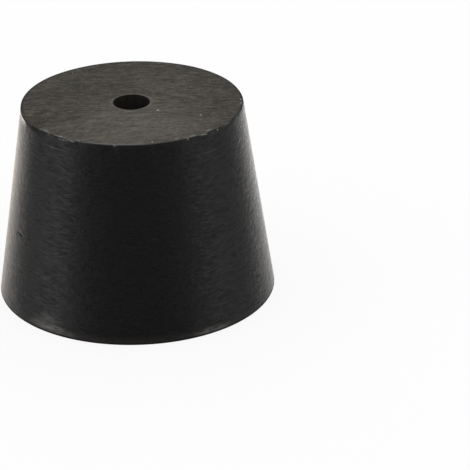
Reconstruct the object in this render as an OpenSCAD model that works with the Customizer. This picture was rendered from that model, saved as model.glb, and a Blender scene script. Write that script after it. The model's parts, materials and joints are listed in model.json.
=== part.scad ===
// Rubber laboratory stopper: a solid tapered plug with one straight hole that grips a glass
// tube, moulded in one piece. It stands on its wide end.
// Millimetres. The origin is the centre of the wide end's face, and +Z runs up the hole
// towards the narrow end.

/* [Body] */
// Diameter of the narrow end, measured as if its edge were sharp
narrow_d = 33; // [20:0.5:60]
// Diameter of the wide end, measured as if its edge were sharp
wide_d = 42; // [20:0.5:75]
// Height from one end face to the other
height = 29.7; // [15:0.1:60]

/* [Hole] */
// Diameter of the hole, a little under that of the tube it grips
hole_d = 5.6; // [2:0.1:12]

/* [Edges] */
// Radius that rounds the narrow end's edge
narrow_edge_r = 0.3; // [0.1:0.05:1.5]
// Radius that rounds the wide end's edge
wide_edge_r = 0.3; // [0.1:0.05:1.5]

/* [Hidden] */
$fn = 96;
// How far the cutter of the hole runs past each end face
cut_past = 1;
// Radius that the side loses for each millimetre of height, and its lean from upright
side_slope = (wide_d - narrow_d) / 2 / height;
side_lean = atan(side_slope);

// Radius of the side, without its rounded edges, at height z
function side_radius(z) = wide_d / 2 - z * side_slope;

// Centre of an edge's rounding at height z, one radius r in from the side
function edge_centre(z, r) = [side_radius(z) - r / cos(side_lean), z];

// Point where a rounding of radius r runs into the side
function edge_end(centre, r) = centre + r * [cos(side_lean), sin(side_lean)];

// Half of the lengthwise section, without the hole: a tapered side between two flat ends,
// with each corner cut back to where its rounding starts and the rounding's disc laid in
module half_section() {
    wide_edge = edge_centre(wide_edge_r, wide_edge_r);
    narrow_edge = edge_centre(height - narrow_edge_r, narrow_edge_r);
    polygon([
        [0, 0],
        [wide_edge.x, 0],
        edge_end(wide_edge, wide_edge_r),
        edge_end(narrow_edge, narrow_edge_r),
        [narrow_edge.x, height],
        [0, height]
    ]);
    translate(wide_edge) circle(r = wide_edge_r);
    translate(narrow_edge) circle(r = narrow_edge_r);
}

// The whole stopper: the section turned about the axis, with the tube hole right through
module stopper() {
    color("#2b2a28")
    difference() {
        rotate_extrude() half_section();
        translate([0, 0, -cut_past]) cylinder(d = hole_d, h = height + 2 * cut_past);
    }
}

stopper();
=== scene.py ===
"""A black rubber laboratory stopper standing on its wide end: its finish, light and camera.

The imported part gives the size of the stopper. This script models its skin again with worn
rims, gives each ground or moulded surface its own rubber, and lights it in a white tent.
"""
import json
import math

import bmesh
import bpy
from mathutils import Matrix, Vector, noise


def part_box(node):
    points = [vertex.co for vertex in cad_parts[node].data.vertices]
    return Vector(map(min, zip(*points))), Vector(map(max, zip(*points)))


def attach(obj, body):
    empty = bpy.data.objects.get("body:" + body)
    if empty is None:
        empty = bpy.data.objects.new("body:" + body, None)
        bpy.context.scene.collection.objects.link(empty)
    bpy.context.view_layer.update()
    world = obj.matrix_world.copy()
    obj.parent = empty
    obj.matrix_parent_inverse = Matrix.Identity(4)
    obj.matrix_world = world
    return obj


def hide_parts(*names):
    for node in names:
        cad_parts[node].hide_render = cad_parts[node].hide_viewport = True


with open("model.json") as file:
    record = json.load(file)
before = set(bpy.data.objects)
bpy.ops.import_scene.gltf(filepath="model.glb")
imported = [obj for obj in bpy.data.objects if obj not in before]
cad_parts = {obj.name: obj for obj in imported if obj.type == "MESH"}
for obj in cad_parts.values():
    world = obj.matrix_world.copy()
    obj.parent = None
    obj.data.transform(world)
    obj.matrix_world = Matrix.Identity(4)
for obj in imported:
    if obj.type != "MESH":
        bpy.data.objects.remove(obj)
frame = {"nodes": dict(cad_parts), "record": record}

MM = 0.001
SAME_SPOT = 1e-7           # points closer than this, in metres, are one point
ON_FACE = 1e-6             # points this close to a face's level or radius lie on it
SCENE = bpy.context.scene
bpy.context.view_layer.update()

# Camera: a long lens, looking down a little on the stopper, which stands left of the middle
CAMERA_AIM = Vector((15.0, 0, 7.6)) * MM
CAMERA_DISTANCE = 367.5 * MM
CAMERA_TILT = 25.5
CAMERA_ROLL = -0.7
CAMERA_LENS = 185

# Skin of the stopper
TURNS = 640                # facets round the stopper
SIDE_CUTS = 40             # rows of facets up the side
BORE_CUTS = 12             # rows of facets up the hole
END_CUTS = 16              # rings of facets on each end face
NARROW_EDGE = 0.1 * MM     # rounding of the narrow end's rim, which grinding left crisp
WIDE_EDGE = 0.06 * MM      # rounding of the wide end's rim, which is crisper still
LIP = 0.08 * MM            # rounding of the hole's two mouths
HOLE_OVAL = (0.965, 1.05)  # the hole came out of the mould slightly long from front to back
HOLE_SHIFT = Vector((-0.1, -0.12, 0)) * MM    # and a touch left of and in front of the middle
HOLE_PULL = 1.6 * MM       # how far round the hole the end faces follow it
END_RISE = 0.13 * MM       # how much higher the narrow end stands at its front, cut a bit askew

# Which rubber a facet has: the order of the skin's materials
GROUND_END, GROUND_SIDE, MOULDED_HOLE, WORN_RIM = range(4)
FLAT = 0.97                # a facet whose normal is this upright belongs to an end face

# Nicks in the narrow end's rim: bearing from the front in degrees, half width and depth in mm
RIM_NICKS = (
    (-6.3, 0.30, 0.15),
    (12.0, 0.22, 0.07),
    (31.0, 0.30, 0.12),
    (-45.0, 0.30, 0.10),
    (-25.5, 0.50, 0.12),
    (46.5, 0.70, 0.25),
    (55.0, 0.40, 0.10),
)

# Stretches where grinding left the rim standing out (or, with a minus, in): bearing, half length
# and width in mm
RIM_LIPS = (
    (-128.0, 4.0, 0.06),
    (-67.5, 3.4, 0.36),
    (-52.0, 2.4, 0.14),
    (-33.5, 1.5, 0.14),
    (39.5, 1.0, 0.10),
    (108.0, 3.5, -0.10),
    (148.0, 3.0, 0.06),
)

# Stretches of the narrow end's rim that were frayed: bearing and half length in mm
RIM_RUBS = ((-39, 4.8), (37.5, 4.8))
FRAY_PITCH = 0.4 * MM      # size of one frayed tuft
FRAY_DEPTH = 0.09 * MM
FRAY_REACH = 0.45 * MM     # how far from the rim the fraying reaches

# Pale marks along the narrow end's rim: chips and scuffs, partly painted glints where the scuffed
# rim catches the light. Each line gives the bearing, how far below the rim it lies (or, with a
# minus, how far in from it), its half length, half width and tilt, and its strength.
PALE_CHIPS_AND_GLINTS = (
    (-49.0, -0.42, 1.10, 0.42, 0, 0.50),
    (-45.0, -0.10, 0.15, 0.60, 0, 0.40),
    (-38.0, -0.30, 1.50, 0.36, 0, 0.55),
    (-33.5, 0.14, 1.90, 0.18, -6, 0.90),
    (-32.6, 0.12, 0.50, 0.22, 0, 1.00),
    (-29.5, 0.08, 0.70, 0.18, 0, 0.80),
    (-27.3, -0.42, 0.55, 0.34, 0, 0.65),
    (-7.0, -0.10, 0.28, 0.25, 0, 0.60),
    (25.7, -0.60, 0.60, 0.40, 0, 0.35),
    (31.0, 0.00, 0.30, 0.40, 0, 0.60),
    (34.8, -0.45, 0.70, 0.35, 0, 0.50),
    (40.3, 0.05, 1.10, 0.19, 8, 1.00),
    (46.0, -0.58, 0.90, 0.30, 0, 0.65),
    (50.2, 0.20, 0.25, 0.24, 0, 0.80),
    (58.0, 0.08, 1.80, 0.30, 0, 0.25),
    (86.5, -0.30, 0.90, 0.30, 0, 0.45),
)

# And the dark ones, listed in the same way: torn or pressed places, and in the first three a
# painted shadow that the lip casts under the rim at the left
TEARS_AND_LIP_SHADE = (
    (-64.3, 0.35, 0.45, 0.30, 0, 0.90),
    (-56.5, 0.34, 1.50, 0.36, 0, 1.00),
    (-48.0, 0.32, 0.80, 0.32, 0, 0.75),
    (-25.5, 0.14, 0.90, 0.22, 0, 0.90),
    (19.0, 0.00, 0.40, 0.25, 0, 0.80),
    (30.7, 0.45, 0.50, 0.30, 0, 0.90),
    (40.5, 0.32, 0.80, 0.18, 8, 0.70),
    (47.0, 0.08, 0.90, 0.34, 0, 0.90),
    (55.0, 0.00, 0.40, 0.30, 0, 0.60),
    (60.5, -0.40, 1.50, 0.28, 0, 0.70),
    (76.0, -0.10, 0.60, 0.25, 0, 0.70),
    (-5.5, 1.00, 0.80, 0.50, 0, 0.80),
)

# Cuts in the side: bearing and height of the middle, half length, half width and depth in mm.
# The last three undercut the narrow rim.
SIDE_NICKS = (
    (-61.2, 12.52, 0.95, 0.19, 0.09),
    (-53.0, 12.65, 0.60, 0.14, 0.03),
    (-64.3, 29.28, 0.40, 0.16, 0.20),
    (-56.8, 29.32, 1.60, 0.18, 0.24),
    (-48.5, 29.36, 0.60, 0.13, 0.12),
)
NICK_REACH = 0.5 * MM      # how far past its ends a cut still moves the side
NICK_CUTS = 9              # how often each facet is cut across, up the side, near a nick
ROW_HEIGHT = 0.3 * MM      # edges that rise more than this run up the side, not along a rim

# Dark spots painted beside the largest grain of dust as its shadow, and chalky grains of dust that
# stayed on the narrow end: place and half size in mm
DUST_GRAIN_SHADE = ((10.6, -5.1, 0.24), (10.9, -6.0, 0.24), (11.4, -5.4, 0.2))
DUST = (
    (3.9, -3.4, 0.28),
    (10.2, -5.4, 0.19),
    (16.1, 0.4, 0.2),
    (3.4, -15.3, 0.2),
    (12.7, -11.2, 0.14),
    (-10.3, -0.7, 0.1),
    (-9.5, 11.7, 0.12),
)

# Marks on the side. Each line gives the bearing and height of the middle, the half length and half
# width in mm, for a scratch its tilt, and the strength. First, where the grit bit harder: at the
# front left, at the front right and at the upper left.
HARD_GROUND = (
    (-22, 17, 4.4, 15, 0.7),
    (28, 16, 4.5, 16, 0.6),
    (-57, 27, 5.5, 5.5, 0.8),
)

# Thin scratches under the narrow rim, and short ones lower down
SCRATCHES = (
    (-49, 27.8, 2.2, 0.12, -2, 0.3),
    (-38, 27.9, 2.8, 0.12, 0, 0.75),
    (-42, 27.9, 0.6, 0.2, 0, 1),
    (42, 26.9, 3.0, 0.14, 0, 0.35),
    (-46, 8.3, 0.8, 0.09, 0, 0.9),
    (-42, 8.0, 1.0, 0.11, 3, 0.9),
    (10.2, 15.7, 1.2, 0.07, 0, 0.45),
    (-27, 3.5, 1.1, 0.06, 3, 0.5),
)

# Pale patches along the foot, at the front left and right: painted reflection of the white floor,
# partly rubbed wear
FOOT_REFLECTIONS_AND_RUBS = (
    (-38.5, 0.85, 2.4, 0.9, 1.0),
    (-34, 0.9, 2.5, 1.0, 0.9),
    (-43, 0.9, 2.8, 0.9, 0.65),
    (-38, 2.0, 3.6, 1.5, 0.42),
    (-28.5, 0.6, 2.6, 0.7, 0.35),
    (34, 0.3, 4.5, 1.1, 0.75),
)

PALE_RUB_AND_GLINT = "#82837f"    # rubber where a rim was knocked or rubbed, and the painted glint of the scuffed rim
BLACKEST = "#070707"       # the darkest that the rubber gets
RUBBER_IOR = 1.5


def linear(hex_colour):
    """A colour written as sRGB hex, as the linear colour that a shader takes."""
    parts = [int(hex_colour[i:i + 2], 16) / 255 for i in (1, 3, 5)]
    return [p / 12.92 if p <= 0.04045 else ((p + 0.055) / 1.055) ** 2.4 for p in parts] + [1.0]


def put(tree, kind, sockets=None, **settings):
    """Adds a shader node with its settings, and gives its sockets a value or a link each."""
    node = tree.nodes.new("ShaderNode" + kind)
    for name, value in settings.items():
        setattr(node, name, value)
    for name, value in (sockets or {}).items():
        if isinstance(value, bpy.types.Node):
            value = value.outputs[0]
        if isinstance(value, bpy.types.NodeSocket):
            tree.links.new(value, node.inputs[name])
        else:
            node.inputs[name].default_value = value
    return node


# ---------------------------------------------------------------- camera


def make_camera():
    """Aims the camera from the front, tilted down, with a slight roll."""
    data = bpy.data.cameras.new("camera")
    data.lens = CAMERA_LENS
    data.sensor_width = 36
    data.clip_start = 0.01
    data.clip_end = 20
    camera = bpy.data.objects.new("camera", data)
    SCENE.collection.objects.link(camera)
    turn = Matrix.Rotation(math.radians(90 - CAMERA_TILT), 4, "X")
    turn = turn @ Matrix.Rotation(math.radians(CAMERA_ROLL), 4, "Z")
    camera.matrix_world = (
        Matrix.Translation(CAMERA_AIM) @ turn @ Matrix.Translation((0, 0, CAMERA_DISTANCE))
    )
    SCENE.camera = camera


# ---------------------------------------------------------------- the stopper's skin


def stopper_sizes():
    """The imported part's height, hole radius, radii at its two ends, and lean in radians."""
    low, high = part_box("stopper")
    hole = next(m for m in frame["record"]["mounts"] if m["name"] == "tube_hole")
    spots = [v.co for v in frame["nodes"]["stopper"].data.vertices]
    rows = [(p.z, math.hypot(p.x, p.y)) for p in spots]
    height = high.z - low.z
    wide_flat = max(r for z, r in rows if z - low.z < ON_FACE)
    narrow_flat = max(r for z, r in rows if high.z - z < ON_FACE)
    lean = math.atan((wide_flat - narrow_flat) / height)
    # The flats stop where the rims' rounding starts, and both ends are widened by the same share
    widen = high.x / wide_flat
    return height, hole["dims"]["r_mm"] * MM, wide_flat * widen, narrow_flat * widen, lean


HEIGHT, HOLE_R, WIDE_R, NARROW_R, LEAN = stopper_sizes()
TOP = HEIGHT / MM          # height of the narrow end in the materials, which work in mm


def on_rim(bearing):
    """A point on the narrow end's rim, at a bearing from the front towards the right."""
    angle = math.radians(bearing)
    return Vector((NARROW_R * math.sin(angle), -NARROW_R * math.cos(angle), HEIGHT))


def side_spot(bearing, z):
    """A point on the tapered side, in mm, at a bearing from the front towards the right."""
    radius = (WIDE_R + (NARROW_R - WIDE_R) * z * MM / HEIGHT) / MM
    angle = math.radians(bearing)
    return (radius * math.sin(angle), -radius * math.cos(angle), z)


def stopper_skin():
    """Turns the section of the stopper into a closed skin and rounds its four rims."""
    mesh = bmesh.new()
    corners = [mesh.verts.new((r, 0, z)) for r, z in
               ((HOLE_R, 0), (WIDE_R, 0), (NARROW_R, HEIGHT), (HOLE_R, HEIGHT))]
    wide_end, side, narrow_end, bore = [
        mesh.edges.new((corners[i], corners[(i + 1) % 4])) for i in range(4)
    ]
    for edges, cuts in (
        ([wide_end, narrow_end], END_CUTS), ([side], SIDE_CUTS), ([bore], BORE_CUTS),
    ):
        bmesh.ops.subdivide_edges(mesh, edges=edges, cuts=cuts)
    bmesh.ops.spin(mesh, geom=mesh.verts[:] + mesh.edges[:], cent=(0, 0, 0), axis=(0, 0, 1),
                   angle=math.tau, steps=TURNS, use_merge=True, use_duplicate=False)
    bmesh.ops.remove_doubles(mesh, verts=mesh.verts, dist=SAME_SPOT)
    bmesh.ops.recalc_face_normals(mesh, faces=mesh.faces)

    quarter = math.pi / 4
    for radius, z, rounding, half_corner in (
        (WIDE_R, 0, WIDE_EDGE, quarter - LEAN / 2),
        (NARROW_R, HEIGHT, NARROW_EDGE, quarter + LEAN / 2),
        (HOLE_R, 0, LIP, quarter),
        (HOLE_R, HEIGHT, LIP, quarter),
    ):
        at = {v for v in mesh.verts
              if abs(v.co.z - z) < SAME_SPOT
              and abs(math.hypot(v.co.x, v.co.y) - radius) < ON_FACE}
        rim = [e for e in mesh.edges if e.verts[0] in at and e.verts[1] in at]
        bmesh.ops.bevel(mesh, geom=rim, offset=rounding / math.tan(half_corner),
                        offset_type="OFFSET", affect="EDGES", segments=4, profile=0.5, material=-1)
    return mesh


def shape_hole(mesh):
    """Makes the round hole slightly oval and moves it off the middle."""
    for vert in mesh.verts:
        apart = math.hypot(vert.co.x, vert.co.y) - HOLE_R
        follow = max(0.0, 1 - apart / HOLE_PULL)
        vert.co.x += follow * (vert.co.x * (HOLE_OVAL[0] - 1) + HOLE_SHIFT.x)
        vert.co.y += follow * (vert.co.y * (HOLE_OVAL[1] - 1) + HOLE_SHIFT.y)


def nick_side(mesh):
    """Cuts short level grooves in the side, on rows of facets made finer there."""
    nicks = [(Vector(side_spot(bearing, z)) * MM, half_length * MM, half_width * MM, depth * MM)
             for bearing, z, half_length, half_width, depth in SIDE_NICKS]
    tall = [e for e in mesh.edges
            if abs(e.verts[0].co.z - e.verts[1].co.z) > ROW_HEIGHT
            and any(all((v.co - middle).length < half_length + NICK_REACH for v in e.verts)
                    for middle, half_length, _, _ in nicks)]
    bmesh.ops.subdivide_edges(mesh, edges=tall, cuts=NICK_CUTS, use_grid_fill=True)
    many_sided = [f for f in mesh.faces if len(f.verts) > 4]
    bmesh.ops.triangulate(mesh, faces=many_sided, ngon_method="BEAUTY")
    for middle, half_length, half_width, depth in nicks:
        outward = Vector((middle.x, middle.y, 0)).normalized()
        along = Vector((-outward.y, outward.x, 0))
        for vert in mesh.verts:
            away = vert.co - middle
            if away.length < half_length + NICK_REACH:
                spread = (away.dot(along) / half_length) ** 2 + (away.z / half_width) ** 2
                vert.co -= outward * depth * math.exp(-spread)


def raise_front(mesh):
    """Raises the front of the narrow end a touch, fading out down the side and inwards."""
    for vert in mesh.verts:
        share = (vert.co.z / HEIGHT) ** 4
        vert.co.z += END_RISE * share * max(0.0, -vert.co.y / NARROW_R) ** 8


def wear_rim(mesh):
    """Dents the narrow end's rim where it was knocked, frays it and gives it its thin lips."""
    for vert in mesh.verts:
        outward = Vector((vert.co.x, vert.co.y, 0)).normalized()
        rim = outward * NARROW_R + Vector((0, 0, HEIGHT))
        nearness = 1 - (vert.co - rim).length / FRAY_REACH
        if nearness <= 0:
            continue
        inward = (Vector((0, 0, -0.6)) - outward).normalized()
        push = 0.0
        lip = 0.0
        for bearing, half_width, depth in RIM_NICKS:
            away = (rim - on_rim(bearing)).length / (half_width * MM)
            push += depth * MM * math.exp(-away * away)
        for bearing, half_length in RIM_RUBS:
            away = (rim - on_rim(bearing)).length / (half_length * MM)
            tuft = max(0.0, noise.noise(rim / FRAY_PITCH))
            push += FRAY_DEPTH * tuft * math.exp(-away * away)
        for bearing, half_length, width in RIM_LIPS:
            away = (rim - on_rim(bearing)).length / (half_length * MM)
            lip += width * MM * math.exp(-away * away)
        vert.co += (inward * push + outward * lip) * nearness


def choose_rubber(mesh):
    """Gives each facet the rubber of its surface: end, side, hole or rim."""
    for face in mesh.faces:
        face.smooth = True
        centre = face.calc_center_median()
        if math.hypot(centre.x, centre.y) < HOLE_R + ON_FACE:
            face.material_index = MOULDED_HOLE
        elif abs(face.normal.z) > FLAT:
            face.material_index = GROUND_END
        elif HEIGHT - centre.z > NARROW_EDGE and centre.z > WIDE_EDGE:
            face.material_index = GROUND_SIDE
        else:
            face.material_index = WORN_RIM


def make_stopper():
    """Makes the stopper's skin, worn and finished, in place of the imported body."""
    mesh = stopper_skin()
    nick_side(mesh)
    choose_rubber(mesh)
    shape_hole(mesh)
    wear_rim(mesh)
    raise_front(mesh)
    data = bpy.data.meshes.new("stopper_skin")
    mesh.to_mesh(data)
    mesh.free()
    skin = bpy.data.objects.new("stopper_skin", data)
    SCENE.collection.objects.link(skin)
    for material in (ground_end_rubber(), ground_side_rubber(), moulded_hole_rubber(),
                     worn_rim_rubber()):
        data.materials.append(material)
    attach(skin, "root")
    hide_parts("stopper")


# ---------------------------------------------------------------- rubber


def new_material(name):
    """An empty node tree, and the place on the object in millimetres."""
    material = bpy.data.materials.new(name)
    material.use_nodes = True
    tree = material.node_tree
    tree.nodes.clear()
    where = put(tree, "TexCoord").outputs["Object"]
    place = put(tree, "Mapping", {"Vector": where, "Scale": [1 / MM] * 3})
    return material, tree, place


def mark(tree, place, middle, half_size, turn=(0, 0, 0), soft=0.6, level=1.0):
    """A mask at this level within an ellipsoid of this half size in mm, fading at its edge."""
    local = put(tree, "Mapping", {"Vector": place, "Location": middle, "Scale": half_size,
                                  "Rotation": [math.radians(a) for a in turn]},
                vector_type="TEXTURE")
    away = put(tree, "VectorMath", {0: local}, operation="LENGTH").outputs["Value"]
    return put(tree, "MapRange", {"Value": away, "From Min": 1.0, "From Max": 1.0 - soft,
                                  "To Max": level}, interpolation_type="SMOOTHSTEP")


def side_mark(tree, place, bearing, z, half_length, half_width, tilt=0, half_depth=3.0, **look):
    """A mask over a spot of the side, laid along its lean; its look says how soft and strong."""
    return mark(tree, place, side_spot(bearing, z), (half_length, half_depth, half_width),
                (-math.degrees(LEAN), tilt, bearing), **look)


def specks(tree, place, table):
    """A mask over the small round spots that a table lists on the narrow end."""
    return any_of(tree, [
        mark(tree, place, (x, y, TOP), (size, size * 1.3, 1), soft=0.7) for x, y, size in table
    ])


def any_of(tree, masks):
    """The strongest of several masks."""
    strongest = masks[0]
    for mask in masks[1:]:
        strongest = put(tree, "Math", {0: strongest, 1: mask}, operation="MAXIMUM")
    return strongest


def blend_tones(tree, parts):
    """Adds patterns round a middle tone of 0.5, each with its own weight."""
    total = 0.5
    for pattern, weight in parts:
        shifted = put(tree, "Math", {0: pattern, 1: 0.5}, operation="SUBTRACT")
        total = put(tree, "Math", {0: shifted, 1: weight, 2: total}, operation="MULTIPLY_ADD")
    return total


def near_ring(tree, place, reach, ring=NARROW_R):
    """A mask that is 1 on a ring of the narrow end and fades out this many mm away from it."""
    apart = put(tree, "SeparateXYZ", {0: place})
    flat = put(tree, "CombineXYZ", {"X": apart.outputs["X"], "Y": apart.outputs["Y"]})
    radius = put(tree, "VectorMath", {0: flat}, operation="LENGTH").outputs["Value"]
    section = put(tree, "CombineXYZ", {"X": radius, "Z": apart.outputs["Z"]})
    away = put(tree, "VectorMath", {0: section, 1: (ring / MM, 0, TOP)},
               operation="DISTANCE").outputs["Value"]
    return put(tree, "MapRange", {"Value": away, "From Min": reach, "From Max": reach * 0.4},
               interpolation_type="SMOOTHSTEP")


def rim_marks(tree, place, table):
    """A crumbly mask over the marks that a table lists along the narrow end's rim."""
    marks = []
    for bearing, drop, half_length, half_width, tilt, level in table:
        if drop > 0:
            middle = side_spot(bearing, TOP - drop)
        else:
            middle = on_rim(bearing) / MM * (1 + drop * MM / NARROW_R)
            middle.z = TOP
        marks.append(mark(tree, place, middle, (half_length, half_width, half_width),
                          (0, tilt, bearing), soft=0.8, level=level))
    crumbs = put(tree, "TexNoise", {"Vector": place, "Scale": 2.6, "Detail": 2.0})
    crumbs = put(tree, "MapRange", {"Value": crumbs, "From Min": 0.34, "From Max": 0.52,
                                    "To Min": 0.25})
    return put(tree, "Math", {0: any_of(tree, marks), 1: crumbs}, operation="MULTIPLY")


def belt_lay(tree, place, axes):
    """The place on the face, bent as the grinding belt left it.

    The belt wandered by up to a millimetre, and the stopper was turned a little as its front was
    ground, so the streaks lean there.
    """
    wander = put(tree, "TexNoise", {"Vector": place, "Scale": 0.22, "Detail": 1.0})
    bent = put(tree, "VectorMath", {0: wander.outputs["Color"], 1: (0, 1.3, 0), 2: place},
               operation="MULTIPLY_ADD")
    lean = put(tree, "MapRange", {"Value": axes.outputs["Y"], "From Min": -3.0,
                                  "From Max": -12.0, "To Max": -0.35})
    skew = put(tree, "Math", {0: axes.outputs["X"], 1: lean}, operation="MULTIPLY")
    skew = put(tree, "CombineXYZ", {"Y": skew})
    return put(tree, "VectorMath", {0: bent, 1: skew}, operation="ADD")


def edge_the_end(tree, place, axes, face):
    """The face's colour with its outline: painted shade along the back of the rim, dark torn places
    with painted lip shade, polished at the front, and pale chips with painted glints.
    """
    # Painted shade: the back of the rim is darkened where its rounding turns away from the light
    behind = put(tree, "MapRange", {"Value": axes.outputs["Y"], "From Min": -7.0,
                                    "From Max": -2.0})
    outline = put(tree, "Math", {0: near_ring(tree, place, 0.5), 1: behind}, operation="MULTIPLY")
    outline = any_of(tree, [outline, rim_marks(tree, place, TEARS_AND_LIP_SHADE)])
    rim_shaded_and_torn = put(tree, "Mix", {0: outline, 6: face, 7: linear("#201f1d")}, data_type="RGBA")
    front = mark(tree, place, on_rim(-6) / MM, (5.5, 5.5, 3), soft=0.6, level=0.9)
    line = put(tree, "Math", {0: front, 1: near_ring(tree, place, 0.35, NARROW_R - 0.22 * MM)},
               operation="MULTIPLY")
    polished = put(tree, "Mix", {0: line, 6: rim_shaded_and_torn.outputs[2], 7: linear("#585a59")},
                   data_type="RGBA")
    # Pale chips along the rim, with painted glints where it is scuffed
    chipped_and_glinting = put(tree, "Mix", {0: rim_marks(tree, place, PALE_CHIPS_AND_GLINTS), 6: polished.outputs[2],
                                7: linear(PALE_RUB_AND_GLINT)}, data_type="RGBA")
    return chipped_and_glinting.outputs[2]


def ground_end_rubber():
    """Filled rubber, ground flat on a belt: dull brownish grey, with short parallel streaks.

    It gives the eye a dry, slightly furry face that is much paler than the side.
    """
    material, tree, place = new_material("ground_end_rubber")
    axes = put(tree, "SeparateXYZ", {0: place})
    bent = belt_lay(tree, place, axes)
    long_lay = put(tree, "Mapping", {"Vector": bent, "Scale": (1 / 2.6, 1 / 0.5, 1)})
    short_lay = put(tree, "Mapping", {"Vector": bent, "Scale": (1 / 0.9, 1 / 0.3, 1)})
    dash_lay = put(tree, "Mapping", {"Vector": bent, "Scale": (1 / 1.5, 1 / 0.32, 1)})
    long_streak = put(tree, "TexNoise", {"Vector": long_lay, "Scale": 1.0, "Detail": 3.0})
    short_streak = put(tree, "TexNoise", {"Vector": short_lay, "Scale": 1.0, "Detail": 4.0,
                                          "Roughness": 0.65})
    grain = put(tree, "TexNoise", {"Vector": place, "Scale": 2.6, "Detail": 3.0, "Roughness": 0.7})
    blotch = put(tree, "TexNoise", {"Vector": place, "Scale": 0.16, "Detail": 3.0})
    # The face is paler towards the front and in a broad patch right of the middle
    paler_front = mark(tree, place, (1, -9.5, TOP), (15, 14, 9), soft=0.75)
    worn = mark(tree, place, (6, 3.5, TOP), (9, 8, 8), soft=1.0)
    tone = blend_tones(tree, (
        (long_streak, 0.70), (short_streak, 0.95), (grain, 0.8), (blotch, 0.25),
        (paler_front, 0.22), (worn, 0.11),
    ))
    colour = put(tree, "ValToRGB", {"Fac": tone})
    stops = colour.color_ramp.elements
    stops[0].position = 0.07
    stops[0].color = linear("#1f1b16")
    stops[1].position = 1.0
    stops[1].color = linear("#68635b")
    middle = stops.new(0.41)
    middle.color = linear("#433f38")

    # The belt's coarser grits left darker dashes, which fade out towards the front
    dashes = put(tree, "TexNoise", {"Vector": dash_lay, "Scale": 1.0, "Detail": 1.0})
    dashes = put(tree, "MapRange", {"Value": dashes, "From Min": 0.46, "From Max": 0.37,
                                    "To Max": 0.95})
    front_fade = put(tree, "Math", {0: paler_front, 1: 0.6}, operation="MULTIPLY")
    dashes = put(tree, "Math", {0: dashes, 1: front_fade}, operation="SUBTRACT", use_clamp=True)
    dashed = put(tree, "Mix", {0: dashes, 6: colour, 7: linear("#2a2722")}, data_type="RGBA")
    edged = edge_the_end(tree, place, axes, dashed.outputs[2])

    # The hole's mouth is rubbed a little paler by the tubes pushed through it
    mouth = put(tree, "Math", {0: near_ring(tree, place, 0.5, HOLE_R), 1: short_streak},
                operation="MULTIPLY")
    rubbed = put(tree, "Mix", {0: mouth, 6: edged, 7: linear("#605c55")}, data_type="RGBA")
    # Painted shadow of the largest dust grain: dark spots beside it
    dust_shaded = put(tree, "Mix", {0: specks(tree, place, DUST_GRAIN_SHADE), 6: rubbed.outputs[2],
                               7: linear("#12110f")}, data_type="RGBA")
    dusty = put(tree, "Mix", {0: specks(tree, place, DUST), 6: dust_shaded.outputs[2],
                              7: linear("#989283")}, data_type="RGBA")

    relief = blend_tones(tree, ((long_streak, 0.5), (short_streak, 0.8), (grain, 0.6)))
    bump = put(tree, "Bump", {"Height": relief, "Strength": 0.5, "Distance": 0.06 * MM})
    gloss = put(tree, "MapRange", {"Value": tone, "To Min": 0.82, "To Max": 0.68})
    shader = put(tree, "BsdfPrincipled", {
        "Base Color": dusty.outputs[2], "Roughness": gloss, "IOR": RUBBER_IOR,
        "Specular IOR Level": 0.25, "Normal": bump,
    })
    put(tree, "OutputMaterial", {"Surface": shader})
    return material


def grinder_lines(tree, place, leaned, wander_scale, lay_scale, **texture):
    """Fine lines that run round the stopper and wander up and down by half a millimetre or so."""
    wander = put(tree, "TexNoise", {"Vector": place, "Scale": wander_scale, "Detail": 1.0})
    bent = put(tree, "VectorMath", {0: wander.outputs["Color"], 1: (0, 0, 1.1), 2: leaned},
               operation="MULTIPLY_ADD")
    lay = put(tree, "Mapping", {"Vector": bent, "Scale": lay_scale})
    return put(tree, "TexNoise", {"Vector": lay, "Scale": 1.0, **texture})


def rub_the_side(tree, place, height, lines, cross_lines, side):
    """The side's colour with its scratches, and a paler band all round its foot with paler patches:
    painted reflection of the white floor, partly rubbed wear.
    """
    scratches = any_of(tree, [
        side_mark(tree, place, bearing, z, half_length, half_width, tilt, level=level)
        for bearing, z, half_length, half_width, tilt, level in SCRATCHES
    ])
    scratched = put(tree, "Math", {0: scratches, 1: lines}, operation="MULTIPLY")
    rubbed = put(tree, "Mix", {0: scratched, 6: side, 7: linear("#585756")}, data_type="RGBA")

    # Painted reflection of the white floor along the foot, partly rubbed wear: a paler band all
    # round
    foot = put(tree, "MapRange", {"Value": height, "From Min": 1.5, "From Max": 0.0},
               interpolation_type="SMOOTHSTEP")
    foot_reflection = put(tree, "Math", {0: foot, 1: lines}, operation="MULTIPLY")
    foot_reflected = put(tree, "Mix", {0: foot_reflection, 6: rubbed.outputs[2], 7: linear("#3c3733")},
                 data_type="RGBA")
    # and paler streaked patches, also painted reflection of the floor, partly rubbed wear
    foot_patches = any_of(tree, [
        side_mark(tree, place, bearing, z, half_length, half_width, soft=0.9, level=level)
        for bearing, z, half_length, half_width, level in FOOT_REFLECTIONS_AND_RUBS
    ])
    patch_streaks = put(tree, "MapRange", {"Value": cross_lines, "From Min": 0.25,
                                          "From Max": 0.58})
    foot_patches = put(tree, "Math", {0: foot_patches, 1: patch_streaks}, operation="MULTIPLY")
    foot_patched = put(tree, "Mix", {0: foot_patches, 6: foot_reflected.outputs[2], 7: linear("#686663")},
                data_type="RGBA")
    return foot_patched.outputs[2]


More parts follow.
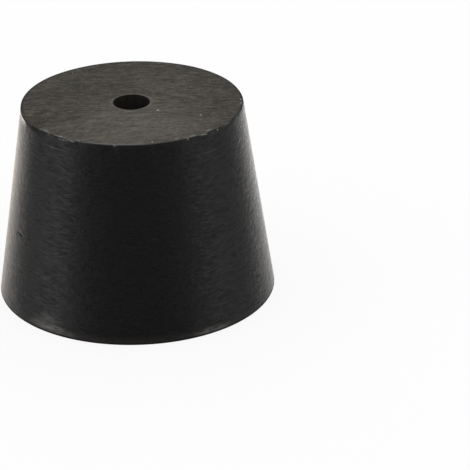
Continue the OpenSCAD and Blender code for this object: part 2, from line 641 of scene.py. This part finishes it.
def shade_and_tear_places(tree, place, height):
    """A mask of painted shade on the side: along the base where it meets the floor, under the lip
    at the left of the rim, and in the cuts; and the torn places along the rim.
    """
    # Painted shade along the base, where the foot meets the floor
    base_shade = put(tree, "MapRange", {"Value": height, "From Min": 0.42, "From Max": 0.22,
                                  "To Max": 0.85}, interpolation_type="SMOOTHSTEP")
    return any_of(tree, [
        base_shade, rim_marks(tree, place, TEARS_AND_LIP_SHADE),
        # Painted shadow under the rim's lip at the left
        side_mark(tree, place, -55, 29.3, 3.6, 1.0, soft=0.9, level=0.8),
    ] + [
        # Painted shade inside the cuts
        side_mark(tree, place, bearing, z, half_length, half_width * 1.3, level=0.8)
        for bearing, z, half_length, half_width, _ in SIDE_NICKS
    ])


def side_gloss(tree, tone, height, dark):
    """The side's roughness: satin and lined, calmer at a glancing view, dull in its dark places."""
    gloss = put(tree, "MapRange", {"Value": tone, "From Min": 0.22, "From Max": 0.78,
                                   "To Min": 0.64, "To Max": 0.2})
    glance = put(tree, "LayerWeight", {"Blend": 0.5}).outputs["Facing"]
    glance = put(tree, "MapRange", {"Value": glance, "From Min": 0.42, "From Max": 0.66})
    edge_gloss = put(tree, "MapRange", {"Value": height, "From Max": 22.0,
                                        "To Min": 0.53, "To Max": 0.42})
    edge_gloss = put(tree, "Math", {0: tone, 1: -0.1, 2: edge_gloss}, operation="MULTIPLY_ADD")
    gloss = put(tree, "Mix", {0: glance, 2: gloss, 3: edge_gloss}, data_type="FLOAT")
    return put(tree, "Mix", {0: dark, 2: gloss, 3: 0.75}, data_type="FLOAT")


def ground_side_rubber():
    """Black filled rubber, ground round and worn smooth: near black, with a satin sheen.

    It gives the eye soft upright bands of light, broken by fine lines that run round it.
    """
    material, tree, place = new_material("ground_side_rubber")
    height = put(tree, "SeparateXYZ", {0: place}).outputs["Z"]

    # The stopper leaned back a little on the grinder, so the lines do, and they wander across
    # each other at a shallow angle
    leaned = put(tree, "Mapping", {"Vector": place, "Rotation": (math.radians(2), 0, 0)})
    lines = grinder_lines(tree, place, leaned, 0.3, (1 / 2.0, 1 / 2.0, 1 / 0.34),
                          Detail=3.0, Roughness=0.6)
    cross_lines = grinder_lines(tree, place, leaned, 0.45, (1 / 1.35, 1 / 1.35, 1 / 0.26),
                                Detail=2.0)
    mottle = put(tree, "TexNoise", {"Vector": place, "Scale": 0.5, "Detail": 4.0, "Roughness": 0.6})
    dimples = put(tree, "TexNoise", {"Vector": place, "Scale": 1.3, "Detail": 2.0})
    tone = blend_tones(tree, ((lines, 0.9), (cross_lines, 1.0), (mottle, 0.4)))
    bitten = any_of(tree, [
        side_mark(tree, place, bearing, z, half_length, half_width, half_depth=4.0, soft=0.7,
                  level=level)
        for bearing, z, half_length, half_width, level in HARD_GROUND
    ])
    bitten = put(tree, "Math", {0: bitten, 1: 1.0}, operation="ADD")
    tone = blend_tones(tree, ((tone, bitten),))
    colour = put(tree, "ValToRGB", {"Fac": tone})
    stops = colour.color_ramp.elements
    stops[0].position = 0.15
    stops[0].color = linear(BLACKEST)
    stops[1].position = 0.85
    stops[1].color = linear("#212121")

    rubbed = rub_the_side(tree, place, height, lines, cross_lines, colour)
    # Painted shade along the base, under the lip and in the cuts, and torn places, darken the side
    dark = shade_and_tear_places(tree, place, height)
    shaded_and_torn = put(tree, "Mix", {0: dark, 6: rubbed, 7: linear(BLACKEST)}, data_type="RGBA")
    # Pale chips along the rim, with painted glints where it is scuffed
    frayed = put(tree, "Mix", {0: rim_marks(tree, place, PALE_CHIPS_AND_GLINTS), 6: shaded_and_torn.outputs[2],
                               7: linear(PALE_RUB_AND_GLINT)}, data_type="RGBA")

    relief = blend_tones(tree, ((lines, 0.8), (cross_lines, 0.8), (dimples, 1.6), (mottle, 1.0)))
    bump = put(tree, "Bump", {"Height": relief, "Strength": 1.0, "Distance": 0.03 * MM})
    shader = put(tree, "BsdfPrincipled", {
        "Base Color": frayed.outputs[2], "Roughness": side_gloss(tree, tone, height, dark),
        "IOR": RUBBER_IOR, "Normal": bump,
    })
    put(tree, "OutputMaterial", {"Surface": shader})
    return material


def worn_rim_rubber():
    """Filled rubber on the crisp outer rims: matt black, rubbed pale where it was knocked, with
    painted glints on the scuffs.

    It gives the eye a thin dark outline, which turns into a pale broken line along the front.
    """
    material, tree, place = new_material("worn_rim_rubber")
    front = mark(tree, place, on_rim(-8) / MM, (7.5, 7.5, 3), soft=0.5, level=0.25)
    pale = any_of(tree, [front, rim_marks(tree, place, PALE_CHIPS_AND_GLINTS)])
    colour = put(tree, "Mix", {0: pale, 6: linear("#1b1a19"), 7: linear(PALE_RUB_AND_GLINT)},
                 data_type="RGBA")
    grit = put(tree, "TexNoise", {"Vector": place, "Scale": 5.0, "Detail": 2.0})
    bump = put(tree, "Bump", {"Height": grit, "Strength": 0.6, "Distance": 0.04 * MM})
    shader = put(tree, "BsdfPrincipled", {
        "Base Color": colour.outputs[2], "Roughness": 0.8, "IOR": RUBBER_IOR,
        "Specular IOR Level": 0.15, "Normal": bump,
    })
    put(tree, "OutputMaterial", {"Surface": shader})
    return material


def moulded_hole_rubber():
    """Black filled rubber as it left the mould's core pin: smooth, a little brown.

    It gives the eye a dark throat with a faint sheen.
    """
    material, tree, place = new_material("moulded_hole_rubber")
    draw = put(tree, "Mapping", {"Vector": place, "Scale": (1 / 0.5, 1 / 0.5, 1 / 6)})
    draw_lines = put(tree, "TexNoise", {"Vector": draw, "Scale": 1.0, "Detail": 3.0})
    colour = put(tree, "ValToRGB", {"Fac": draw_lines})
    stops = colour.color_ramp.elements
    stops[0].position = 0.3
    stops[0].color = linear("#191816")
    stops[1].position = 0.7
    stops[1].color = linear("#292622")
    bump = put(tree, "Bump", {"Height": draw_lines, "Strength": 0.4, "Distance": 0.05 * MM})
    shader = put(tree, "BsdfPrincipled", {
        "Base Color": colour, "Roughness": 0.45, "IOR": RUBBER_IOR, "Normal": bump,
    })
    put(tree, "OutputMaterial", {"Surface": shader})
    return material


# ---------------------------------------------------------------- floor and light


FLOOR_GLOW = 0.85          # how much of what the camera sees of the floor is plain white


def make_floor():
    """White card that stays white to the camera and keeps a soft contact shadow."""
    mesh = bmesh.new()
    bmesh.ops.create_grid(mesh, x_segments=1, y_segments=1, size=4.0)
    data = bpy.data.meshes.new("floor")
    mesh.to_mesh(data)
    mesh.free()
    floor = bpy.data.objects.new("floor", data)
    SCENE.collection.objects.link(floor)
    material = bpy.data.materials.new("white_card")
    material.use_nodes = True
    tree = material.node_tree
    tree.nodes.clear()
    paper = put(tree, "BsdfDiffuse", {"Color": linear("#fafafa")})
    glow = put(tree, "Emission", {"Color": (1, 1, 1, 1), "Strength": 1.0})
    seen = put(tree, "LightPath").outputs["Is Camera Ray"]
    share = put(tree, "Math", {0: seen, 1: FLOOR_GLOW}, operation="MULTIPLY")
    mix = put(tree, "MixShader", {0: share, 1: paper, 2: glow})
    put(tree, "OutputMaterial", {"Surface": mix})
    data.materials.append(material)
    floor.visible_glossy = False


# The light tent, by bearing from the camera's side: dark in front, a lit panel at either side,
# dimmer cloth past it, and a white wall behind that comes further round on the left
DARK_FRONT = 45            # how far the dark front reaches to either side
PANEL_FROM = 65            # a panel is fully lit from here
PANEL_TO = 80              # to here
CLOTH_FROM = 100           # the dimmer cloth starts here
LEFT_PANEL = 0.7
RIGHT_PANEL = 0.45
CLOTH = 0.25
BACK_WALL = 0.8
ROOF = 1.22

# A strongly lit card low behind the stopper, which only its edges mirror: warm on the left, and
# cooler and dimmer on the right
LEFT_CARD = (3.94, 3.6, 3.25, 1)
RIGHT_CARD = (3.25, 3.17, 3.1, 1)


def tent_walls():
    """The bearings, towards the right, where the walls change brightness, each with its level."""
    stops = []
    for side, panel, cloth_to, wall_from in (
        (-1, LEFT_PANEL, 120, 140), (1, RIGHT_PANEL, 140, 180),
    ):
        stops += [(side * bearing, level) for bearing, level in (
            (DARK_FRONT, 0.0), (PANEL_FROM, panel), (PANEL_TO, panel),
            (CLOTH_FROM, CLOTH), (cloth_to, CLOTH), (wall_from, BACK_WALL),
        )]
    return sorted(stops)


def make_world():
    """A light tent: bright roof and back, softer sides, and a dark front round the camera."""
    world = bpy.data.worlds.new("light_tent")
    SCENE.world = world
    world.use_nodes = True
    tree = world.node_tree
    tree.nodes.clear()
    way = put(tree, "TexCoord").outputs["Generated"]
    turned = put(tree, "Mapping", {"Vector": way, "Rotation": (0, 0, math.radians(90))})
    bearing = put(tree, "TexGradient", {"Vector": turned}, gradient_type="RADIAL")
    walls = put(tree, "ValToRGB", {"Fac": bearing})
    stops = walls.color_ramp.elements
    stops.remove(stops[1])
    for index, (angle, level) in enumerate(tent_walls()):
        position = 0.5 + angle / 360
        stop = stops[0] if index == 0 else stops.new(position)
        stop.position = position
        stop.color = (level, level, level, 1)
    apart = put(tree, "SeparateXYZ", {0: way})
    low = put(tree, "MapRange", {"Value": apart.outputs["Z"], "From Min": -0.24, "From Max": -0.4})
    behind = put(tree, "MapRange", {"Value": apart.outputs["Y"], "From Min": 0.5, "From Max": 0.9})
    low_behind = put(tree, "Math", {0: low, 1: behind}, operation="MULTIPLY")
    aside = put(tree, "MapRange", {"Value": apart.outputs["X"], "From Min": -0.1, "From Max": 0.08})
    card = put(tree, "Mix", {0: aside, 6: LEFT_CARD, 7: RIGHT_CARD}, data_type="RGBA")
    backed = put(tree, "Mix", {0: low_behind, 6: walls, 7: card.outputs[2]}, data_type="RGBA")
    roof = put(tree, "MapRange", {"Value": apart.outputs["Z"], "From Min": 0.25, "From Max": 0.75})
    tent = put(tree, "Mix", {0: roof, 6: backed.outputs[2], 7: [ROOF] * 3 + [1]},
               data_type="RGBA")
    seen = put(tree, "LightPath").outputs["Is Camera Ray"]
    tone = put(tree, "Mix", {0: seen, 6: tent.outputs[2], 7: (1, 1, 1, 1)}, data_type="RGBA")
    sky = put(tree, "Background", {"Color": tone.outputs[2], "Strength": 1.0})
    put(tree, "OutputWorld", {"Surface": sky})


make_camera()
SCENE.view_settings.view_transform = "Standard"
make_stopper()
make_floor()
make_world()
